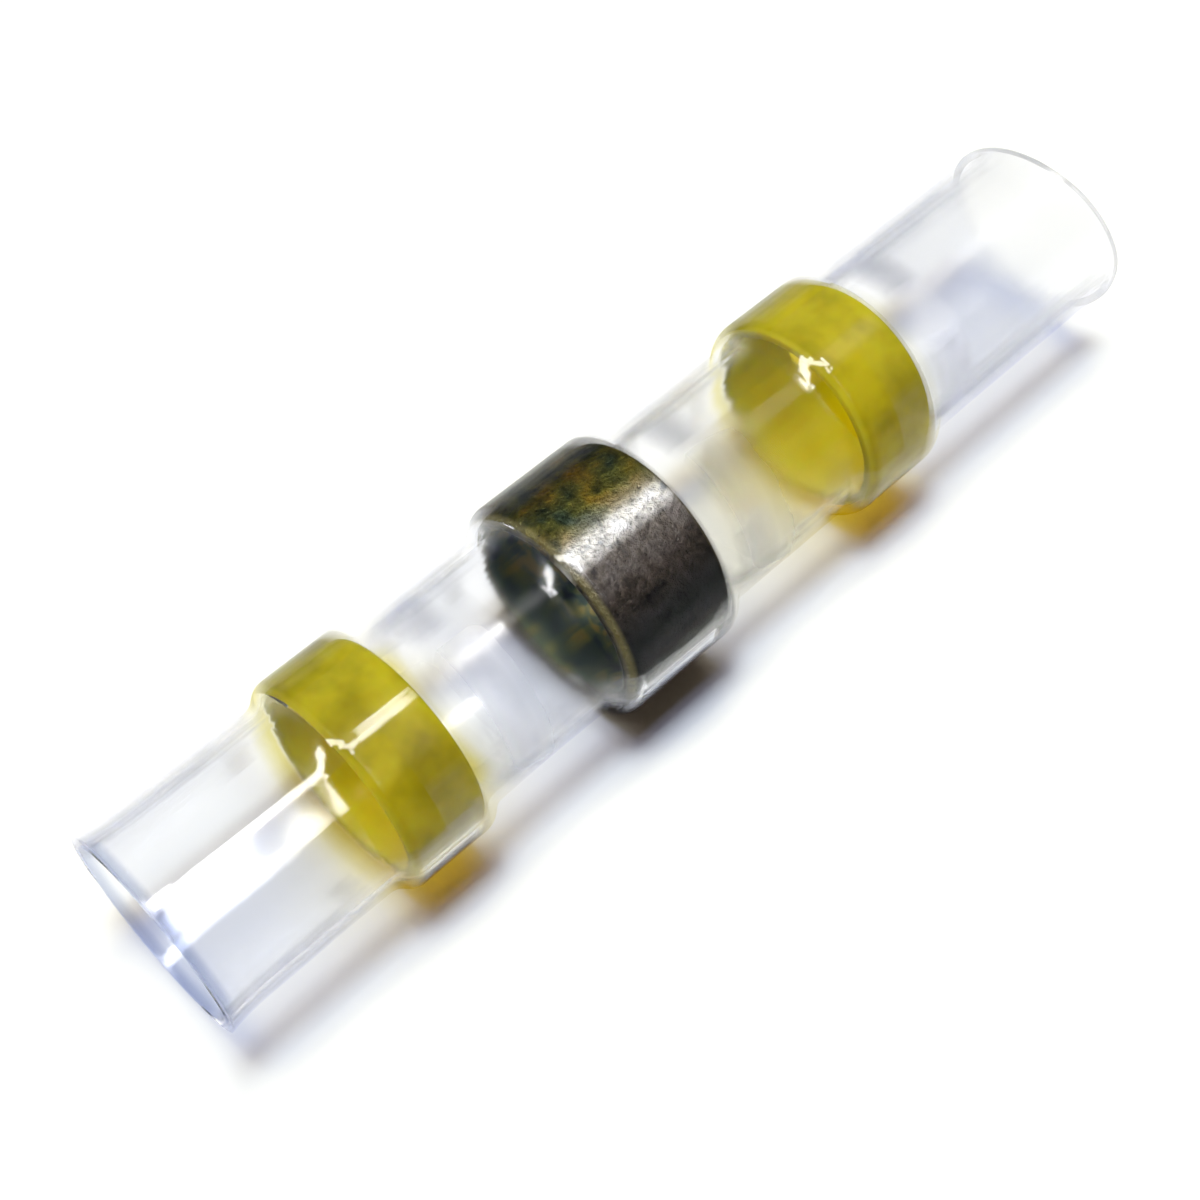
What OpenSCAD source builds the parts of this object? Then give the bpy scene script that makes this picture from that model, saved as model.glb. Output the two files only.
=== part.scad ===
// Solder-seal wire connector: a clear heat-shrink sleeve, partly shrunk over
// a ring of solder in the middle and a ring of hot-melt sealant on each side.
// It lies along X with its axis level, and rests on the solder ring's bulge.

/* [Wire bore] */
// Bore of all three rings, which the stripped wires pass through
wire_bore_d = 6.5; // [6.2:0.1:6.8]

/* [Sleeve] */
// Bore of the sleeve where it has shrunk down between the rings
sleeve_bore_d = 6.6; // [6.2:0.1:7.2]
// Wall of the sleeve
sleeve_wall = 0.3; // [0.2:0.05:0.6]
// Outside radius of the shoulder where the sleeve turns over a ring's edge
shoulder_r = 0.7; // [0.65:0.05:0.8]
// Inside radius of the fold where the sleeve drops off a ring
neck_fillet_r = 0.8; // [0.3:0.1:1.2]
// How far each cut end opens out
end_flare = 0.15; // [0.05:0.05:0.4]
// Length over which a cut end opens out
end_flare_len = 1.6; // [1:0.2:3]

/* [Sealing rings] */
// Wall of the sealant rings
seal_wall = 0.5; // [0.5:0.05:0.9]
// Radius on the outer edges of the sealant rings
seal_edge_r = 0.25; // [0.1:0.05:0.25]
// Length of the left sealant ring
left_seal_len = 3; // [2.5:0.1:6]
// Length of the right sealant ring
right_seal_len = 3.3; // [2.5:0.1:6]

/* [Solder ring] */
// Wall of the solder ring
solder_wall = 0.67; // [0.55:0.02:1.05]
// Radius on the outer edges of the solder ring
solder_edge_r = 0.3; // [0.1:0.05:0.3]
// Length of the solder ring
solder_len = 4.6; // [3:0.1:7]

/* [Places along the sleeve] */
// Open sleeve from the left end to the left sealant ring
left_end_len = 7.1; // [5:0.1:14]
// Bare sleeve between the left sealant ring and the solder
left_neck_len = 6.2; // [3:0.1:12]
// Bare sleeve between the solder and the right sealant ring
right_neck_len = 7.1; // [3:0.1:12]
// Open sleeve from the right sealant ring to the right end
right_end_len = 10.7; // [5:0.1:14]

/* [Fit] */
// Gap that the shrunk sleeve keeps round a ring
shrink_gap = 0.02; // [0.01:0.01:0.05]
// Radius on the bore edges of the rings
mouth_r = 0.2; // [0.05:0.05:0.2]

/* [Hidden] */
$fn = 96;

// Steps in each rounded stretch of a half section
arc_steps = 8;

sleeve_len = left_end_len + left_seal_len + left_neck_len + solder_len
           + right_neck_len + right_seal_len + right_end_len;
wire_r = wire_bore_d / 2;
neck_r = sleeve_bore_d / 2 + sleeve_wall;

// Where the middle of each ring lies along X
left_seal_x = left_end_len + (left_seal_len - sleeve_len) / 2;
solder_x = left_seal_x + (left_seal_len + solder_len) / 2 + left_neck_len;
right_seal_x = solder_x + (solder_len + right_seal_len) / 2 + right_neck_len;

// A ring is [middle along X, length, wall, radius of the outer edges]
left_seal = [left_seal_x, left_seal_len, seal_wall, seal_edge_r];
solder = [solder_x, solder_len, solder_wall, solder_edge_r];
right_seal = [right_seal_x, right_seal_len, seal_wall, seal_edge_r];

// The sleeve's bulge over a ring: a level crown, an arc round the ring's edge,
// and a fold of the opposite curve that meets the neck at a tangent
function crown_r(ring) = wire_r + ring[2] + shrink_gap + sleeve_wall;
function crown_arc_r(ring) = max(shoulder_r, ring[3] + shrink_gap + sleeve_wall);
function fold_arc_r(ring) = max(neck_fillet_r, crown_r(ring) - neck_r - crown_arc_r(ring));
function fold_angle(ring) = acos(1 - (crown_r(ring) - neck_r) / (crown_arc_r(ring) + fold_arc_r(ring)));
function crown_half(ring) = ring[1] / 2 - ring[3];
function bulge_half(ring) = crown_half(ring) + (crown_arc_r(ring) + fold_arc_r(ring)) * sin(fold_angle(ring));

// The largest bulge sets how high the axis lies
axis_height = max(crown_r(left_seal), crown_r(solder));

// The flare is one arc that leaves the straight sleeve at a tangent
flare_start = sleeve_len / 2 - end_flare_len;
flare_arc_r = (pow(end_flare_len, 2) + pow(end_flare, 2)) / (2 * end_flare);

// Each revolve starts this far round from the line that the part rests on
seam_turn = 2.5;

clear = [0.86, 0.9, 0.96, 0.4];
sealant = [0.78, 0.7, 0.12];
dull_solder = [0.36, 0.34, 0.33];

// Points of an arc, [radius from the axis, place along it], less the first few
function arc(centre, radius, from, to, skip = 0) =
    [for (i = [skip : arc_steps]) let (a = from + (to - from) * i / arc_steps)
        centre + radius * [cos(a), sin(a)]];

// Outline of a ring's half section, with rounded outer edges and bore edges
function ring_points(ring) =
    let (half = ring[1] / 2, edge = ring[3], outer = wire_r + ring[2] - edge, inner = wire_r + mouth_r)
    concat(
        arc([outer, ring[0] - half + edge], edge, -90, 0),
        arc([outer, ring[0] + half - edge], edge, 0, 90),
        arc([inner, ring[0] + half - mouth_r], mouth_r, 90, 180),
        arc([inner, ring[0] - half + mouth_r], mouth_r, 180, 270));

// The bulge over a ring from left to right, set in from the outside by a depth
function bulge_points(ring, depth) =
    let (angle = fold_angle(ring), fold = fold_arc_r(ring) + depth, crown = crown_arc_r(ring) - depth,
         fold_at = neck_r + fold_arc_r(ring), crown_at = crown_r(ring) - crown_arc_r(ring))
    concat(
        arc([fold_at, ring[0] - bulge_half(ring)], fold, 180, 180 - angle),
        arc([crown_at, ring[0] - crown_half(ring)], crown, -angle, 0, 1),
        arc([crown_at, ring[0] + crown_half(ring)], crown, 0, angle),
        arc([fold_at, ring[0] + bulge_half(ring)], fold, 180 + angle, 180, 1));

// The whole sleeve from left to right, set in from the outside by a depth
function skin_points(depth) =
    let (arc_r = flare_arc_r + depth, opening = asin(end_flare_len / arc_r), arc_at = neck_r + flare_arc_r)
    concat(
        arc([arc_at, -flare_start], arc_r, 180 + opening, 180),
        bulge_points(left_seal, depth),
        bulge_points(solder, depth),
        bulge_points(right_seal, depth),
        arc([arc_at, flare_start], arc_r, 180, 180 - opening));

function backwards(points) = [for (i = [len(points) - 1 : -1 : 0]) points[i]];

// Turns a half section about the axis and lays it along X
module turn_along_x(points) {
    translate([0, 0, axis_height]) rotate([0, 90, 0]) rotate([0, 0, seam_turn])
        rotate_extrude() polygon(points);
}

// One thin-walled tube, open at both ends
module heat_shrink_sleeve() {
    color(clear) turn_along_x(concat(skin_points(0), backwards(skin_points(sleeve_wall))));
}

module solder_ring() {
    color(dull_solder) turn_along_x(ring_points(solder));
}

module sealing_ring_left() {
    color(sealant) turn_along_x(ring_points(left_seal));
}

module sealing_ring_right() {
    color(sealant) turn_along_x(ring_points(right_seal));
}

heat_shrink_sleeve();
solder_ring();
sealing_ring_left();
sealing_ring_right();
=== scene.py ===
import bmesh, bpy, math
from mathutils import Matrix, Vector

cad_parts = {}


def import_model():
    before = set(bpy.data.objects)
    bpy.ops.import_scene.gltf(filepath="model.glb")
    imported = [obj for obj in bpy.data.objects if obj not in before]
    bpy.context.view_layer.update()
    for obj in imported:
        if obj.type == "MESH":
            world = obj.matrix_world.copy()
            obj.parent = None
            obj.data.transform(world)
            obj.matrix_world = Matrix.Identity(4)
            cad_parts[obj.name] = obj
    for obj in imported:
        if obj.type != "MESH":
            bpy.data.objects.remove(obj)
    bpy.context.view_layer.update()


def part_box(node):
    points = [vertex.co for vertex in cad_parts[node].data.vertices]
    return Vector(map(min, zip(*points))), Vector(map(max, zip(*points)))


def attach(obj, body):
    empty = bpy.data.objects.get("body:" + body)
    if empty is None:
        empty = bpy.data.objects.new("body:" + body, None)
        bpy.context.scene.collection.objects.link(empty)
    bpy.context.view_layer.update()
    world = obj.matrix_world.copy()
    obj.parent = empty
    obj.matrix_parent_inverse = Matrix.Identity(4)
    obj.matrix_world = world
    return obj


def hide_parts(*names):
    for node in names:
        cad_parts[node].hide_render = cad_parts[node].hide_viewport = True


# Solder-seal wire connector: a clear sleeve, shrunk over a ring of solder and two rings of sealant.
#
# A place on the tube is given in millimetres by x, along it, and r, from its axis, and by turn, the
# angle round it from the top towards +Y. A point of an outline is (x, r, nx, nr), and nx and nr are
# the parts of its normal along X and outward.

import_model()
scene = bpy.context.scene

MM = 0.001

# Sizes that the solids have and their boxes don't give
SLEEVE_WALL = 0.3
NECK_R = 3.6
SHOULDER_R = 0.7
FOLD_R = 0.8
FLARE, FLARE_LEN = 0.15, 1.6
BORE_R = 3.25
MOUTH_R = 0.2
SEAL_EDGE_R, SOLDER_EDGE_R = 0.25, 0.3
GAP = 0.02

# How finely the pieces are drawn: steps round the tube, in each stretch of an outline, and the
# longest step along a neck
TURNS = 240
FLARE_STEPS, FOLD_STEPS, SHOULDER_STEPS, CROWN_STEPS = 7, 7, 9, 5
RING_EDGE_STEPS, RING_MOUTH_STEPS, RING_SIDE_STEPS, RING_END_STEPS = 12, 6, 16, 4
NECK_STEP = 0.42

# Unevenness of the sleeve: how far it lies inside the solid everywhere, and how much further on the
# necks and ends, how deep its waves and drawn lines are, and how far from a ring they start and
# have their full depth
SKIN_INSET, NECK_INSET = 0.002, 0.014
WAVE_DEPTH, FLUTE_DEPTH = 0.016, 0.004
UNEVEN_START, UNEVEN_FULL = 0.7, 2.9

# What the waves and the drawn lines are made of: the rate of each part along the tube, how many
# times it goes round, and its share
WAVES = (0.31, 2, 0.44), (0.83, 3, 0.30), (1.7, 4, 0.18), (2.9, 6, 0.08)
FLUTES = (0.11, 13, 0.4), (0.17, 23, 0.35), (0.07, 37, 0.25)

# The cut ends: how ragged they are, and how far in from an end that reaches
RAGGED, RAGGED_LEN = 0.05, 0.02

# The far end's cut is skewed: its mean, its swing, the turn where it takes most, the length of
# sleeve that it is shared out over, and how softly it ends
SKEW_MEAN, SKEW_SWING, SKEW_TURN, SKEW_LEN, SKEW_SOFTNESS = 0.3, 0.75, 30, 5.0, 0.1

# The rings lie this far inside the solids, and are uneven inward from there
RING_INSET, RING_ROUGH = 0.03, 0.03


# Places on the tube
def box_mm(node):
    """A node's lowest and highest corners, in millimetres."""
    return [[v / MM for v in corner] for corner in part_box(node)]


def ring_facts(node, edge):
    """A ring's middle, half length and outer radius, from its solid, and the radius of its edges."""
    lo, hi = box_mm(node)
    return {"mid": (lo[0] + hi[0]) / 2, "half": (hi[0] - lo[0]) / 2,
            "outer": (hi[2] - lo[2]) / 2, "edge": edge}


sleeve_lo, sleeve_hi = box_mm("heat_shrink_sleeve")
AXIS_Z = (sleeve_lo[2] + sleeve_hi[2]) / 2
END = sleeve_hi[0]
LEFT = ring_facts("sealing_ring_left", SEAL_EDGE_R)
SOLDER = ring_facts("solder_ring", SOLDER_EDGE_R)
RIGHT = ring_facts("sealing_ring_right", SEAL_EDGE_R)
RINGS = (LEFT, SOLDER, RIGHT)


def step(value, start, end):
    """Nought before start, one after end, and even between; start may be the larger."""
    return min(1.0, max(0.0, (value - start) / (end - start)))


def band(value, start, full, full_end, end):
    """One from full to full_end, and fading to nought at start and at end."""
    return step(value, start, full) * step(value, end, full_end)


def before(ring, x):
    """How far a place lies to the left of a ring."""
    return ring["mid"] - ring["half"] - x


def after(ring, x):
    """How far a place lies to the right of a ring."""
    return x - ring["mid"] - ring["half"]


def from_rings(x):
    """How far a place is from the nearest ring; less than nought over a ring."""
    return min(abs(x - ring["mid"]) - ring["half"] for ring in RINGS)


def on_tube(point):
    """A point of a mesh as x, r and turn."""
    y, z = point.y / MM, point.z / MM - AXIS_Z
    return point.x / MM, math.hypot(y, z), math.atan2(y, z)


def wave(x, turn, seed, reach=1.0):
    """Smooth, repeatable unevenness between about -1 and 1 along and round the tube."""
    t = 0.0
    for i, (rate, rounds, share) in enumerate(WAVES):
        t += share * math.sin(rate * reach * x + 1.7 * seed + 2.3 * i + math.sin(rounds * turn + seed + i))
    return t


def flutes(x, turn):
    """Shallow lines along the tube, left by drawing and shrinking it."""
    t = 0.0
    for rate, rounds, share in FLUTES:
        t += share * math.sin(rounds * turn + 1.3 * math.sin(rate * x + rounds))
    return t


# Outlines and meshes
def arc(cx, cr, radius, start, end, steps, skip=0):
    """Points of an arc that is seen from outside its circle, less the first few."""
    out = []
    for i in range(skip, steps + 1):
        a = math.radians(start + (end - start) * i / steps)
        out.append((cx + radius * math.sin(a), cr + radius * math.cos(a), math.sin(a), math.cos(a)))
    return out


def hollow(points):
    """The points of an arc that is seen from inside its circle."""
    return [(x, r, -nx, -nr) for x, r, nx, nr in points]


def joined(first, second, steps, normal=(0.0, 1.0)):
    """Two stretches of an outline, and a straight one between them."""
    (x, r), (x_end, r_end) = first[-1][:2], second[0][:2]
    between = [(x + (x_end - x) * i / steps, r + (r_end - r) * i / steps) + normal for i in range(1, steps)]
    return first + between + second


def bulge(ring, depth):
    """The sleeve over a ring, from left to right: fold, shoulder, crown, shoulder, fold."""
    crown_r = ring["outer"] + GAP + SLEEVE_WALL
    shoulder = max(SHOULDER_R, ring["edge"] + GAP + SLEEVE_WALL)
    fold = max(FOLD_R, crown_r - NECK_R - shoulder)
    angle = math.degrees(math.acos(1 - (crown_r - NECK_R) / (shoulder + fold)))
    mid, half = ring["mid"], ring["half"] - ring["edge"]
    reach = half + (shoulder + fold) * math.sin(math.radians(angle))
    fold_at, fold_r = NECK_R + fold, fold + depth
    crown_at, crown_arc_r = crown_r - shoulder, shoulder - depth
    left = hollow(arc(mid - reach, fold_at, fold_r, 180, 180 - angle, FOLD_STEPS))
    left += arc(mid - half, crown_at, crown_arc_r, -angle, 0, SHOULDER_STEPS, 1)
    right = arc(mid + half, crown_at, crown_arc_r, 0, angle, SHOULDER_STEPS)
    right += hollow(arc(mid + reach, fold_at, fold_r, 180 + angle, 180, FOLD_STEPS, 1))
    return joined(left, right, CROWN_STEPS)


def skin(depth):
    """The sleeve from end to end, set in from the outside by a depth."""
    flare_r = (FLARE_LEN ** 2 + FLARE ** 2) / (2 * FLARE)
    opening = math.degrees(math.asin(FLARE_LEN / (flare_r + depth)))
    start, flare_at = END - FLARE_LEN, NECK_R + flare_r
    out = hollow(arc(-start, flare_at, flare_r + depth, 180 + opening, 180, FLARE_STEPS))
    far_end = hollow(arc(start, flare_at, flare_r + depth, 180, 180 - opening, FLARE_STEPS))
    for part in [bulge(ring, depth) for ring in RINGS] + [far_end]:
        out = joined(out, part, max(4, int((part[0][0] - out[-1][0]) / NECK_STEP)))
    return out


def ring_outline(ring):
    """A ring's half section: rounded outer edges, and smaller rounds at the edges of its bore."""
    mid, half, edge = ring["mid"], ring["half"], ring["edge"]
    edge_at, mouth_at = ring["outer"] - RING_INSET - edge, BORE_R + MOUTH_R
    left = arc(mid - half + edge, edge_at, edge, -90, 0, RING_EDGE_STEPS)
    right = arc(mid + half - edge, edge_at, edge, 0, 90, RING_EDGE_STEPS)
    right_mouth = arc(mid + half - MOUTH_R, mouth_at, MOUTH_R, 90, 180, RING_MOUTH_STEPS)
    left_mouth = arc(mid - half + MOUTH_R, mouth_at, MOUTH_R, 180, 270, RING_MOUTH_STEPS)
    out = joined(left, right, RING_SIDE_STEPS)
    out = joined(out, right_mouth, RING_END_STEPS, (1.0, 0.0))
    out = joined(out, left_mouth, RING_SIDE_STEPS, (0.0, -1.0))
    return joined(out, left[:1], RING_END_STEPS, (-1.0, 0.0))[:-1]


def revolve(name, outline, shift):
    """A closed outline turned about the axis.

    shift gives how far a place on the tube moves along its normal, and how far along X.
    """
    verts, faces = [], []
    n = len(outline)
    for t in range(TURNS):
        turn = 2 * math.pi * t / TURNS
        c, s = math.cos(turn), math.sin(turn)
        for x, r, nx, nr in outline:
            out, along = shift(x, turn)
            x, r = x + out * nx + along, r + out * nr
            verts.append((x * MM, r * s * MM, (AXIS_Z + r * c) * MM))
        u = (t + 1) % TURNS
        for i in range(n):
            j = (i + 1) % n
            faces.append((t * n + i, t * n + j, u * n + j, u * n + i))
    mesh = bpy.data.meshes.new(name)
    mesh.from_pydata(verts, [], faces)
    mesh.validate()
    mesh.update()
    for face in mesh.polygons:
        face.use_smooth = True
    turn_faces_out(mesh)
    obj = bpy.data.objects.new(name, mesh)
    scene.collection.objects.link(obj)
    return obj


def turn_faces_out(mesh):
    """Turns a closed mesh right side out, which the clear materials need."""
    bm = bmesh.new()
    bm.from_mesh(mesh)
    if bm.calc_volume(signed=True) < 0:
        mesh.flip_normals()
    bm.free()


def set_mark(mesh, name, mark_at):
    """Stores a mark from nought to one on each point of a mesh, where its material reads it."""
    values = mesh.attributes.new(name, "FLOAT", "POINT").data
    for vertex in mesh.vertices:
        values[vertex.index].value = mark_at(*on_tube(vertex.co))


# Parts of materials
def grey(v):
    """An even colour, from black at nought to white at one."""
    return (v, v, v, 1)


def material(name):
    """A new material, its node tree and its main shader."""
    m = bpy.data.materials.new(name)
    m.use_nodes = True
    return m, m.node_tree, m.node_tree.nodes["Principled BSDF"]


def set_values(shader, values):
    """Sets the shader's own sockets by name."""
    for name, value in values.items():
        shader.inputs[name].default_value = value


def places(nt, scale=(1, 1, 1)):
    """Places on the piece in millimetres, scaled."""
    coords = nt.nodes.new("ShaderNodeTexCoord")
    mapping = nt.nodes.new("ShaderNodeMapping")
    mapping.inputs["Scale"].default_value = [v / MM for v in scale]
    nt.links.new(coords.outputs["Object"], mapping.inputs["Vector"])
    return mapping.outputs["Vector"]


def noise(nt, vec, scale, detail=3.0, rough=0.5):
    """Smooth noise round about a half; scale is how many lumps there are to a millimetre."""
    n = nt.nodes.new("ShaderNodeTexNoise")
    set_values(n, {"Scale": scale, "Detail": detail, "Roughness": rough})
    nt.links.new(vec, n.inputs["Vector"])
    return n.outputs["Fac"]


def towards_y(nt, vec, start, end):
    """How far towards +Y a place lies: nought before start, one after end."""
    parts = nt.nodes.new("ShaderNodeSeparateXYZ")
    nt.links.new(vec, parts.inputs[0])
    share = nt.nodes.new("ShaderNodeMapRange")
    set_values(share, {"From Min": start, "From Max": end})
    nt.links.new(parts.outputs["Y"], share.inputs["Value"])
    return share.outputs["Result"]


def ramp(nt, fac, stops):
    """A colour that runs through stops of (position, colour)."""
    r = nt.nodes.new("ShaderNodeValToRGB")
    e = r.color_ramp.elements
    e[0].position, e[0].color = stops[0]
    e[1].position, e[1].color = stops[-1]
    for position, colour in stops[1:-1]:
        e.new(position).color = colour
    nt.links.new(fac, r.inputs["Fac"])
    return r.outputs["Color"]


def mixed(nt, kind, fac, first, second):
    """Two colours blended or multiplied; each may be a colour or a socket."""
    m = nt.nodes.new("ShaderNodeMix")
    m.data_type = "RGBA"
    m.blend_type = kind
    for socket, value in ((m.inputs[0], fac), (m.inputs[6], first), (m.inputs[7], second)):
        if isinstance(value, (float, tuple)):
            socket.default_value = value
        else:
            nt.links.new(value, socket)
    return m.outputs[2]


def mark(nt, name):
    """A mark that set_mark stored."""
    a = nt.nodes.new("ShaderNodeAttribute")
    a.attribute_name = name
    return a.outputs["Fac"]


def bump(nt, height, strength, distance):
    """The normal of a surface that is raised by a height times a distance in metres."""
    b = nt.nodes.new("ShaderNodeBump")
    set_values(b, {"Strength": strength, "Distance": distance})
    nt.links.new(height, b.inputs["Height"])
    return b.outputs["Normal"]


def see_through(nt, colour):
    """A shader that light goes straight through, in a colour or a socket's colour."""
    clear = nt.nodes.new("ShaderNodeBsdfTransparent")
    if isinstance(colour, tuple):
        clear.inputs["Color"].default_value = colour
    else:
        nt.links.new(colour, clear.inputs["Color"])
    return clear.outputs[0]


def blended(nt, fac, first, second):
    """Two shaders blended."""
    mix = nt.nodes.new("ShaderNodeMixShader")
    for socket, value in zip(mix.inputs, (fac, first, second)):
        nt.links.new(value, socket)
    return mix.outputs[0]


def lets_light_by(nt, shader, colour):
    """Lamps and bounced light pass straight through in a colour; all else sees the shader."""
    path = nt.nodes.new("ShaderNodeLightPath")
    light = nt.nodes.new("ShaderNodeMath")
    light.operation = "MAXIMUM"
    nt.links.new(path.outputs["Is Shadow Ray"], light.inputs[0])
    nt.links.new(path.outputs["Is Diffuse Ray"], light.inputs[1])
    surface = blended(nt, light.outputs[0], shader, see_through(nt, colour))
    nt.links.new(surface, nt.nodes["Material Output"].inputs["Surface"])


# Materials of the sleeve. Its faces take one of six, numbered as its slots are
PLAIN, BONDED, PLAIN_INSIDE, CALM, CALM_INSIDE, WETTED = range(6)

# Roughness along and between the drawn lines, roughness where scuffed, and depth of the lines
OUTER_FACE = (0.05, 0.11, 0.36, 0.00004)
INNER_FACE = (0.08, 0.13, 0.2, 0.00001)

PLASTIC_IOR, WETTED_IOR = 1.48, 1.2
CALM_MIRRORS, WETTED_MIRRORS = 0.06, 0.3


def sleeve_material(name, face, mirrors=1.0, ior=PLASTIC_IOR):
    """Clear plastic with drawn-out lines along it, scuffed where the marks say, with a painted yellow glow
    beside the seals and yellow patches where they say.
    """
    m, nt, p = material(name)
    smooth, rough, haze, line_depth = face
    painted_glow, yellow_patch, calm = mark(nt, "painted_glow"), mark(nt, "yellow_patch"), mark(nt, "calm")

    # Painted glow: the yellow that light from the seals lends to the plastic is painted into its colour
    body = mixed(nt, "MIX", painted_glow, (0.94, 0.95, 0.985, 1), (0.96, 0.92, 0.70, 1))
    body = mixed(nt, "MIX", yellow_patch, body, (0.72, 0.62, 0.05, 1))
    # Painted bluish shade along the near cut edge
    body = mixed(nt, "MULTIPLY", mark(nt, "lip"), body, (0.55, 0.60, 0.74, 1))
    nt.links.new(body, p.inputs["Base Color"])
    set_values(p, {"Transmission Weight": 1.0, "IOR": ior, "Specular Tint": grey(mirrors)})
    lines = noise(nt, places(nt, (0.04, 1.1, 1.1)), 1.0, 2.0, 0.5)
    clean = ramp(nt, lines, ((0.3, grey(smooth)), (0.75, grey(rough))))
    nt.links.new(mixed(nt, "MIX", mark(nt, "scuff"), clean, grey(haze)), p.inputs["Roughness"])
    nt.links.new(bump(nt, lines, 1.0, line_depth), p.inputs["Normal"])

    # Seen edge on, or where it is calm, the plastic hardly bends what is behind it
    side = nt.nodes.new("ShaderNodeLayerWeight")
    side.inputs["Blend"].default_value = 0.5
    fade = ramp(nt, side.outputs["Facing"], ((0.5, grey(0)), (0.7, grey(0.65)),
                                             (0.85, grey(0.92)), (1.0, grey(1))))
    faint = mixed(nt, "MULTIPLY", 1.0, fade, mark(nt, "bare"))
    faint = mixed(nt, "MIX", calm, faint, grey(1.0))
    # Light that comes out of a ring through the plastic stuck to it isn't turned back
    within = nt.nodes.new("ShaderNodeNewGeometry")
    leaving = mixed(nt, "MULTIPLY", 1.0, within.outputs["Backfacing"], mark(nt, "clung"))
    faint = mixed(nt, "MIX", leaving, faint, grey(1.0))
    thin = mixed(nt, "MIX", calm, (0.935, 0.94, 0.98, 1), (0.975, 0.975, 0.99, 1))
    thin = mixed(nt, "MIX", painted_glow, thin, (0.95, 0.92, 0.70, 1))
    thin = mixed(nt, "MIX", yellow_patch, thin, (0.80, 0.72, 0.05, 1))
    plastic = blended(nt, faint, p.outputs[0], see_through(nt, thin))

    # The shadow is deepest under the sides of the tube
    shade = ramp(nt, side.outputs["Facing"], ((0.0, (0.935, 0.94, 0.96, 1)), (0.3, (0.91, 0.915, 0.94, 1)),
                                              (0.5, (0.83, 0.835, 0.89, 1)), (0.62, (0.61, 0.61, 0.68, 1)),
                                              (0.8, (0.45, 0.45, 0.53, 1)), (1.0, (0.33, 0.33, 0.41, 1))))
    shade = mixed(nt, "MULTIPLY", mark(nt, "end"), shade, (0.84, 0.87, 0.95, 1))
    shade = mixed(nt, "MULTIPLY", painted_glow, shade, (1.0, 0.97, 0.86, 1))
    lets_light_by(nt, plastic, shade)
    return m


def bonded_material():
    """Where the sleeve's inner face is stuck to a ring, nothing bends or mirrors the light."""
    m, nt, p = material("bonded")
    nt.nodes.remove(p)
    nt.links.new(see_through(nt, grey(1)), nt.nodes["Material Output"].inputs["Surface"])
    return m


# Materials of the rings
def sealant_material():
    """Yellow hot-melt: cloudy, with painted light that makes its bore and left rim paler, painted shade
    towards +Y, and amber where light comes through it.
    """
    m, nt, p = material("sealant")
    vec = places(nt)
    cloud = noise(nt, vec, 0.45, 3.0, 0.55)
    outside = ramp(nt, cloud, ((0.36, (0.38, 0.35, 0.010, 1)), (0.62, (0.66, 0.63, 0.03, 1))))
    # Painted shade: darker towards +Y
    outside = mixed(nt, "MULTIPLY", towards_y(nt, vec, 1.2, 3.6), outside, (0.62, 0.64, 0.6, 1))
    # Painted light: the bore and the left rim are painted paler than the outside
    inside = ramp(nt, cloud, ((0.3, (0.85, 0.85, 0.10, 1)), (0.7, (1.0, 1.0, 0.16, 1))))
    nt.links.new(mixed(nt, "MIX", mark(nt, "bore"), outside, inside), p.inputs["Base Color"])
    set_values(p, {"Transmission Weight": 0.5, "Subsurface Weight": 0.7, "Subsurface Radius": (1.0, 0.75, 0.1),
                   "Subsurface Scale": 0.0008, "IOR": 1.2, "Specular IOR Level": 0.1, "Roughness": 0.2})
    nt.links.new(bump(nt, noise(nt, vec, 1.2, 2.0), 0.12, 0.00005), p.inputs["Normal"])
    lets_light_by(nt, p.outputs[0], grey(1))
    deep = nt.nodes.new("ShaderNodeVolumeAbsorption")
    set_values(deep, {"Color": (0.853, 0.776, 0.0, 1), "Density": 5500})
    nt.links.new(deep.outputs[0], nt.nodes["Material Output"].inputs["Volume"])
    return m


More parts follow.
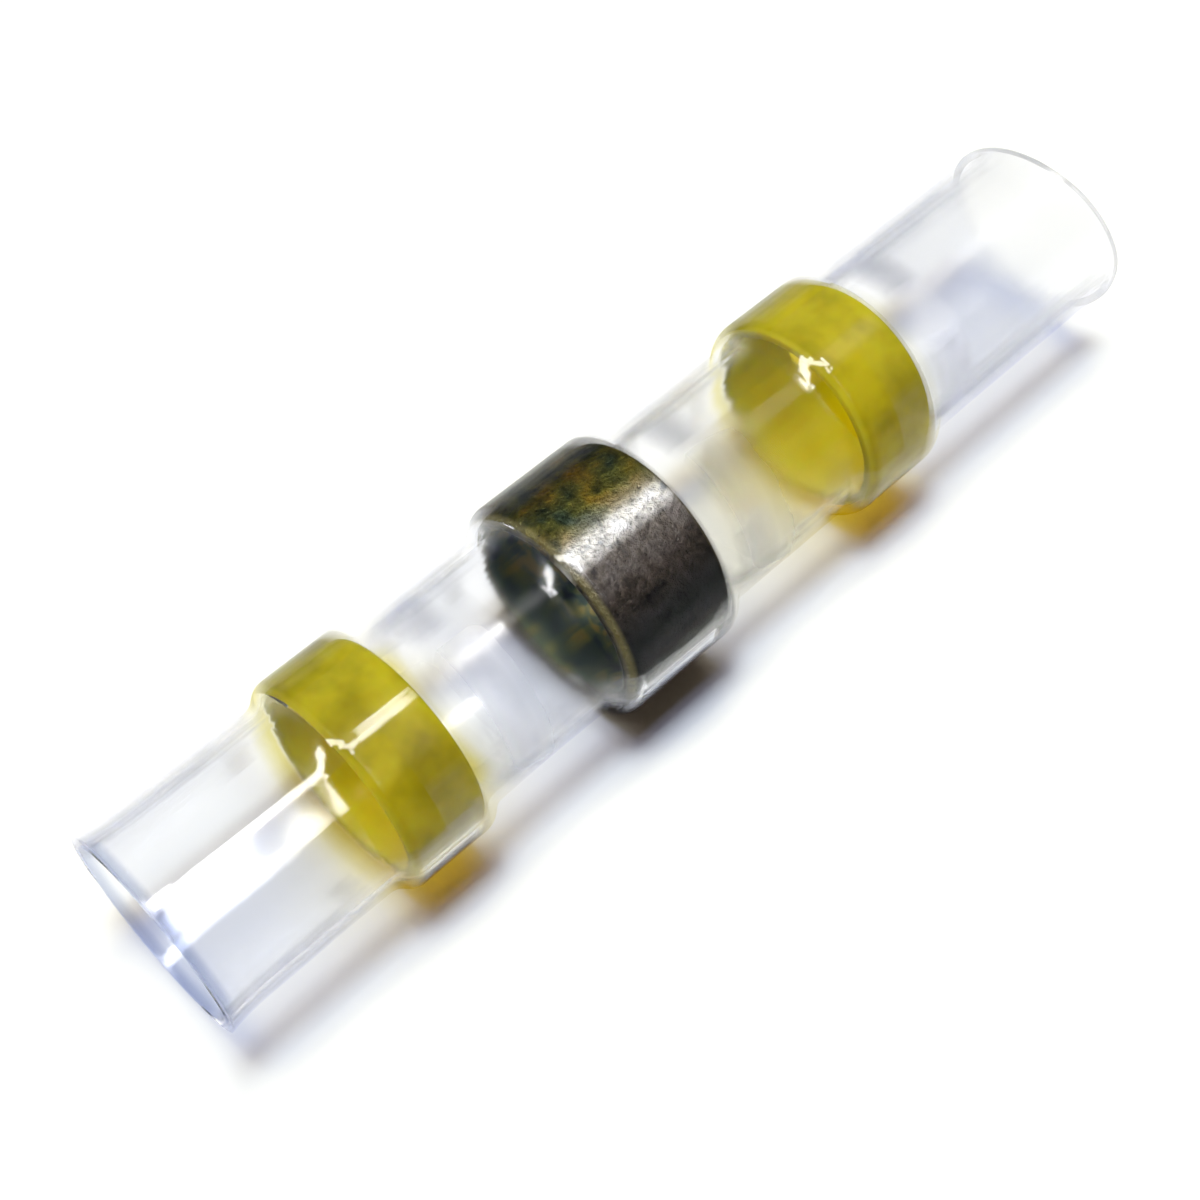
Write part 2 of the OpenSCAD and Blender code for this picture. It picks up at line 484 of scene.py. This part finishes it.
def solder_material():
    """Dull solder with a cast grain and a painted highlight along it, olive and blue-green with flux towards
    +Y, and darker brown towards -Y.
    """
    m, nt, p = material("solder")
    vec = places(nt)
    grain = noise(nt, vec, 4.5, 3.0, 0.7)
    lumps = noise(nt, vec, 1.5, 3.0, 0.6)
    side = towards_y(nt, vec, -4.0, 4.0)
    # Painted highlight: the palest stop is a painted band of light along the ring, and the colour runs darker
    # towards -Y
    metal_and_painted_highlight = ramp(nt, side, ((0.06, (0.014, 0.016, 0.016, 1)), (0.18, (0.052, 0.042, 0.034, 1)),
                            (0.31, (0.15, 0.132, 0.12, 1)), (0.385, (1.0, 0.99, 0.97, 1)),
                            (0.45, (0.26, 0.25, 0.19, 1)), (0.53, (0.17, 0.15, 0.07, 1)),
                            (0.80, (0.10, 0.09, 0.04, 1))))
    flux = noise(nt, vec, 0.75, 2.0, 0.5)
    flux = ramp(nt, flux, ((0.36, (0.25, 0.42, 0.52, 1)), (0.43, (0.42, 0.52, 0.30, 1)),
                           (0.53, (0.72, 0.70, 0.26, 1)), (0.64, (1.0, 0.68, 0.14, 1))))
    c = mixed(nt, "MULTIPLY", ramp(nt, side, ((0.41, grey(0)), (0.52, grey(1)))), metal_and_painted_highlight, flux)
    stain = ramp(nt, lumps, ((0.30, (0.30, 0.32, 0.35, 1)), (0.45, (0.8, 0.78, 0.72, 1)), (0.58, grey(1))))
    speck = ramp(nt, grain, ((0.36, grey(0.58)), (0.62, grey(1.0))))
    c = mixed(nt, "MULTIPLY", 1.0, mixed(nt, "MULTIPLY", 1.0, c, stain), speck)
    c = mixed(nt, "MIX", mark(nt, "rim"), c, (0.24, 0.21, 0.09, 1))
    nt.links.new(c, p.inputs["Base Color"])
    set_values(p, {"Metallic": 0.8, "Specular Tint": (0.12, 0.12, 0.13, 1)})
    nt.links.new(ramp(nt, grain, ((0.3, grey(0.26)), (0.7, grey(0.48)))), p.inputs["Roughness"])
    nt.links.new(bump(nt, grain, 1.0, 0.00013), p.inputs["Normal"])
    return m


def painted_shade_bore_material():
    """The solder's inner wall: painted darker for the shade inside it, blue-black with greenish flux."""
    m, nt, p = material("solder_bore_painted_shade")
    vec = places(nt)
    stain = noise(nt, vec, 1.1, 3.0, 0.6)
    nt.links.new(ramp(nt, stain, ((0.36, (0.018, 0.032, 0.05, 1)), (0.47, (0.05, 0.09, 0.06, 1)),
                                  (0.55, (0.11, 0.13, 0.05, 1)), (0.63, (0.30, 0.22, 0.05, 1)))),
                 p.inputs["Base Color"])
    p.inputs["Metallic"].default_value = 0.4
    grain = noise(nt, vec, 5.0, 3.0, 0.6)
    nt.links.new(ramp(nt, grain, ((0.3, grey(0.28)), (0.7, grey(0.48)))), p.inputs["Roughness"])
    nt.links.new(bump(nt, grain, 0.6, 0.00005), p.inputs["Normal"])
    return m


def floor_material():
    """Matt and nearly white."""
    m, nt, p = material("floor")
    set_values(p, {"Base Color": (0.9, 0.9, 0.9, 1), "Roughness": 0.9, "Specular IOR Level": 0.1})
    return m


# Shape of the sleeve
def skew(turn):
    """How much shorter the far end is cut; nowhere longer."""
    t = SKEW_MEAN + SKEW_SWING * math.cos(turn - math.radians(SKEW_TURN))
    return 0.5 * (t + math.hypot(t, SKEW_SOFTNESS))


def unskewed(x, turn):
    """Where a place was before the skewed cut drew the far end in."""
    start = END - SKEW_LEN
    return x if x < start else start + (x - start) / (1 - skew(turn) / SKEW_LEN)


def sleeve_shift(x, turn):
    """Uneven on the necks and ends, and close to the solid at the rings; ragged and skewed at the cuts."""
    free = step(from_rings(x), UNEVEN_START, UNEVEN_FULL)
    free *= free * (3 - 2 * free)
    out = free * (WAVE_DEPTH * wave(x, turn, 1.3) + FLUTE_DEPTH * flutes(x, turn) - NECK_INSET) - SKIN_INSET
    cut = RAGGED * max(0.0, (abs(x) - (END - RAGGED_LEN)) / RAGGED_LEN)
    ragged = 0.5 + 0.5 * wave(0, 1.5 * math.sin(turn) + 2 * math.cos(turn), 4.0 if x > 0 else 7.0)
    along = -cut * ragged * math.copysign(1, x) - skew(turn) * step(x, END - SKEW_LEN, END)
    return out, along


# Marks on the sleeve, which its material reads, and which of its materials a face shows. Lengths
# are in millimetres and turns in degrees, and all were set against the photo.
def scuff_at(x, turn):
    """How hazy it is: most on the necks, less towards +Y, before a ring and on the far end."""
    if abs(x) > END - 0.03:
        return 1.0
    if x < LEFT["mid"]:
        return 0.0
    if x > RIGHT["mid"]:
        return 0.5 * step(from_rings(x), 0.2, 1.7)
    deg = math.degrees(turn) % 360
    side = 1.0 - 0.65 * max(step(deg, 135, 115), step(deg, 350, 360))
    if x < SOLDER["mid"]:
        clear = max(0.4, step(before(SOLDER, x), 2.4, 3.6))
    else:
        clear = max(0.3, step(before(RIGHT, x), 1.0, 5.0))
    return side * clear * step(from_rings(x), 0.2, 1.2)


def painted_glow_at(x, turn):
    """Painted yellow glow, for the light that a seal lends to the clear plastic beside it, less so towards +Y.
    """
    deg = math.degrees(turn)
    painted_glow = 0.0
    for ring, on_left, on_right in ((LEFT, (0.5, 1.3), (0.5, 1.0)), (RIGHT, (0.75, 3.8), (0.4, 0.7))):
        most, reach = on_left if x < ring["mid"] else on_right
        painted_glow = max(painted_glow, most * math.exp(-max(0.0, abs(x - ring["mid"]) - ring["half"]) / reach))
    return painted_glow * max(0.15, step(deg, 10, -10) if deg < 60 else step(deg, 120, 140))


def yellow_patch_at(x, turn):
    """Yellow on the sleeve: low down on the right of each seal, and a little on its left."""
    right = max(band(after(seal, x), -0.3, 0.0, 1.2, 2.2) for seal in (LEFT, RIGHT))
    left = max(band(before(seal, x), -0.3, 0.0, 0.0, 0.9) for seal in (LEFT, RIGHT))
    return max(right * band(math.degrees(turn) % 360, 96, 118, 194, 214), 0.5 * left)


def calm_at(x, turn):
    """Where it hardly bends what is behind it: right of a ring, low down left of one, and at the far cut."""
    right = min((after(ring, x) for ring in RINGS), key=abs)
    left = min((before(ring, x) for ring in RINGS), key=abs)
    return max(band(right, -0.45, -0.15, 0.9, 2.6),
               band(left, -0.3, 0.0, 0.9, 2.2) * band(math.degrees(turn) % 360, 70, 90, 230, 250),
               0.7 * step(x, END - 0.12, END - 0.02))


def clung_at(x, turn):
    """Where it is stuck to a ring."""
    return float(any(is_bonded(ring, x, turn) for ring in RINGS))


def bare_at(x, turn):
    """Where nothing lies under it, so that it may fade when it is seen edge on."""
    return step(from_rings(x), -0.2, 0.3)


def lip_at(x, turn):
    """The last of the near end, where its cut edge gathers a bluish light."""
    return step(-x, END - 0.4, END - 0.15)


def end_at(x, turn):
    """Both ends, which cast a deeper shadow."""
    return step(abs(x), END - 1.3, END - 0.2)


SLEEVE_MARKS = {"scuff": scuff_at, "painted_glow": painted_glow_at, "yellow_patch": yellow_patch_at, "calm": calm_at,
                "lip": lip_at, "end": end_at, "clung": clung_at, "bare": bare_at}


def is_bonded(ring, x, turn):
    """True where the shrunk sleeve has wetted the ring: all round the far seal, and not low on the others."""
    if abs(x - ring["mid"]) > ring["half"]:
        return False
    return ring is RIGHT or not -152 < math.degrees(turn) < -80 + 6 * wave(x, turn, 3.0)


def is_calm(x, turn):
    """Where the sleeve clings so closely that it shows no highlight of its own.

    That is all over the solder, on the neck to the right of it and just to the left of it, and at the
    left edge of each ring on the side towards -Y.
    """
    if (before(SOLDER, x) < -0.25 and before(RIGHT, x) > 0.9) or 0.9 < before(SOLDER, x) < 2.6:
        return True
    return -80 < math.degrees(turn) < -20.5 and any(-1.1 < before(ring, x) < 0.9 for ring in RINGS)


def sleeve_slot(x, turn, outward):
    """The material of a face, from its place and from how far its normal points outward."""
    if outward < -0.3:
        if any(is_bonded(ring, x, turn) for ring in RINGS):
            return BONDED
        return CALM_INSIDE if is_calm(x, turn) else PLAIN_INSIDE
    if from_rings(x) < 0.2 and 18 < math.degrees(turn) < 100:
        return WETTED
    return CALM if is_calm(x, turn) else PLAIN


# Pieces
def sleeve():
    """One thin-walled tube, open at both ends."""
    obj = revolve("sleeve_skin", skin(0.0) + skin(SLEEVE_WALL)[::-1], sleeve_shift)
    mesh = obj.data
    mesh.set_sharp_from_angle(angle=math.radians(50))
    for m in (sleeve_material("clear_sleeve", OUTER_FACE),
              bonded_material(),
              sleeve_material("clear_sleeve_inside", INNER_FACE),
              sleeve_material("clear_sleeve_calm", OUTER_FACE, CALM_MIRRORS),
              sleeve_material("clear_sleeve_calm_inside", INNER_FACE, CALM_MIRRORS),
              sleeve_material("clear_sleeve_wetted", OUTER_FACE, WETTED_MIRRORS, WETTED_IOR)):
        mesh.materials.append(m)
    for name, mark_at in SLEEVE_MARKS.items():
        set_mark(mesh, name, lambda x, r, turn: mark_at(unskewed(x, turn), turn))
    for face in mesh.polygons:
        x, r, turn = on_tube(face.center)
        outward = face.normal.y * math.sin(turn) + face.normal.z * math.cos(turn)
        face.material_index = sleeve_slot(x, turn, outward)
    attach(obj, "root")
    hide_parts("heat_shrink_sleeve")


def ring_piece(name, ring, node, mat, seed):
    """A slightly uneven ring, which stands for its solid."""
    def shift(x, turn):
        return RING_ROUGH * (wave(x, turn, seed, 2.0) - 1.0) * 0.5, 0.0
    obj = revolve(name, ring_outline(ring), shift)
    obj.data.materials.append(mat)
    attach(obj, "root")
    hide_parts(node)
    return obj


def seal(name, ring, node, mat, seed):
    """A ring of sealant, marked where painted light makes it paler: in its bore, and half as much on its left
    rim.
    """
    def painted_light_bore_at(x, r, turn):
        rim = step(ring["mid"] - x, ring["half"] - 0.2, ring["half"] - 0.05)
        return max(0.5 * rim, step(r, BORE_R + 0.2, BORE_R))
    obj = ring_piece(name, ring, node, mat, seed)
    set_mark(obj.data, "bore", painted_light_bore_at)


def solder_band():
    """The ring of solder, with a pale line round each end and a bore painted darker for its shade."""
    def rim_at(x, r, turn):
        at_end = step(abs(x - SOLDER["mid"]), SOLDER["half"] - 0.22, SOLDER["half"] - 0.1)
        return 0.6 * at_end * step(r, SOLDER["outer"] - 0.45, SOLDER["outer"] - 0.25)
    obj = ring_piece("solder_band", SOLDER, "solder_ring", solder_material(), 9.0)
    obj.data.materials.append(painted_shade_bore_material())
    set_mark(obj.data, "rim", rim_at)
    for face in obj.data.polygons:
        x, r, turn = on_tube(face.center)
        face.material_index = int(r < BORE_R + 0.06)


# Floor, lights and camera, in metres
FLOOR_HALF = 0.6
LAMP_HEIGHT = 0.3
STRIP_LEVEL, STRIP_COLOUR = 16, (1.0, 0.99, 0.97)


def floor():
    """A plain pale floor."""
    mesh = bpy.data.meshes.new("floor")
    s = FLOOR_HALF
    mesh.from_pydata([(-s, -s, 0), (s, -s, 0), (s, s, 0), (-s, s, 0)], [], [(0, 1, 2, 3)])
    mesh.materials.append(floor_material())
    obj = bpy.data.objects.new("floor", mesh)
    scene.collection.objects.link(obj)


def surroundings():
    """A dim room with a pale horizon, which lights nothing and only shows in the gloss."""
    world = bpy.data.worlds.new("studio")
    scene.world = world
    world.use_nodes = True
    nt = world.node_tree
    coords = nt.nodes.new("ShaderNodeTexCoord")
    parts = nt.nodes.new("ShaderNodeSeparateXYZ")
    nt.links.new(coords.outputs["Generated"], parts.inputs[0])
    sky = ramp(nt, parts.outputs["Z"], ((0.0, (0.80, 0.82, 0.90, 1)), (0.12, (0.60, 0.62, 0.70, 1)),
                                        (0.30, (0.12, 0.13, 0.17, 1)), (1.0, (0.12, 0.125, 0.16, 1))))
    # What shows through the clear walls is as bright as the white surroundings of a light tent
    path = nt.nodes.new("ShaderNodeLightPath")
    unmirrored = nt.nodes.new("ShaderNodeMath")
    unmirrored.operation = "LESS_THAN"
    unmirrored.inputs[1].default_value = 0.5
    nt.links.new(path.outputs["Glossy Depth"], unmirrored.inputs[0])
    through = mixed(nt, "MULTIPLY", 1.0, path.outputs["Is Transmission Ray"], unmirrored.outputs[0])
    background = nt.nodes["Background"]
    nt.links.new(mixed(nt, "MIX", through, sky, (0.95, 0.96, 1.0, 1)), background.inputs["Color"])
    background.inputs["Strength"].default_value = 1.0
    world.cycles_visibility.diffuse = False


def lamp(name, centre, along, width, level, colour, shines):
    """A soft rectangle overhead, as bright as level times a white page in full light.

    It is centred over a point, reaches half of along each way from it, and faces the object. One
    kind of lamp only shows as a reflection, and the other kind only lights.
    """
    centre, along = Vector((*centre, LAMP_HEIGHT)), Vector((*along, 0))
    data = bpy.data.lights.new(name, "AREA")
    data.shape = "RECTANGLE"
    data.size, data.size_y = along.length, width
    data.energy = level * data.size * data.size_y * math.pi
    data.color = colour
    obj = bpy.data.objects.new(name, data)
    x = along.normalized()
    y = centre.cross(x).normalized()
    obj.matrix_world = Matrix.Translation(centre) @ Matrix((x, y, x.cross(y))).transposed().to_4x4()
    obj.visible_diffuse = not shines
    obj.visible_glossy = shines
    obj.visible_transmission = shines
    scene.collection.objects.link(obj)


def camera(place, right, look, lens, shift):
    """A camera that a perspective fit of the photo gave: where it is, its right and where it looks."""
    data = bpy.data.cameras.new("camera")
    data.sensor_width = 36
    data.lens = lens
    data.shift_x, data.shift_y = shift
    data.clip_start, data.clip_end = 0.002, 5
    obj = bpy.data.objects.new("camera", data)
    right, look = Vector(right), Vector(look).normalized()
    turned = Matrix((right, right.cross(look), -look)).transposed().to_4x4()
    obj.matrix_world = Matrix.Translation(place) @ turned
    scene.collection.objects.link(obj)
    scene.camera = obj


# The pieces and what is round them
sleeve()
sealant = sealant_material()
seal("seal_left", LEFT, "sealing_ring_left", sealant, 2.0)
seal("seal_right", RIGHT, "sealing_ring_right", sealant, 5.0)
solder_band()

floor()
surroundings()

# One long strip overhead, bent a little near its middle, makes the highlights on the rings
lamp("strip_right", (0.098, -0.025), (0.086, 0), 0.075, STRIP_LEVEL, STRIP_COLOUR, True)
lamp("strip_left", (-0.197, 0.046), (0.505, -0.172), 0.048, STRIP_LEVEL, STRIP_COLOUR, True)
# A wide one towards -Y shows only along the open left end
lamp("strip_side", (0.002, -0.195), (0.038, -0.28), 0.08, 12, (1.0, 1.0, 1.0), True)
# A small cool lamp, a wide warm one and a faint one from all over cast the shadows
lamp("top", (-0.01, -0.004), (0.07, 0), 0.06, 53, (0.78, 0.87, 1.0), False)
lamp("soft", (0.0, 0.052), (0.26, 0), 0.07, 10.5, (1.0, 0.92, 0.66), False)
lamp("fill", (0.0, 0.0), (0.6, 0), 0.6, 0.2, (1.0, 0.76, 0.5), False)

camera(place=(-0.02598, -0.02648, 0.05517), right=(0.70795, -0.70626, 0.0),
       look=(0.38380, 0.38472, -0.83946), lens=55.25, shift=(-0.0511, 0.0293))

scene.view_settings.view_transform = "Standard"
# Enough bounces for light to pass both walls of the sleeve and come back
scene.cycles.max_bounces = 24
scene.cycles.transmission_bounces = 20
scene.cycles.transparent_max_bounces = 16
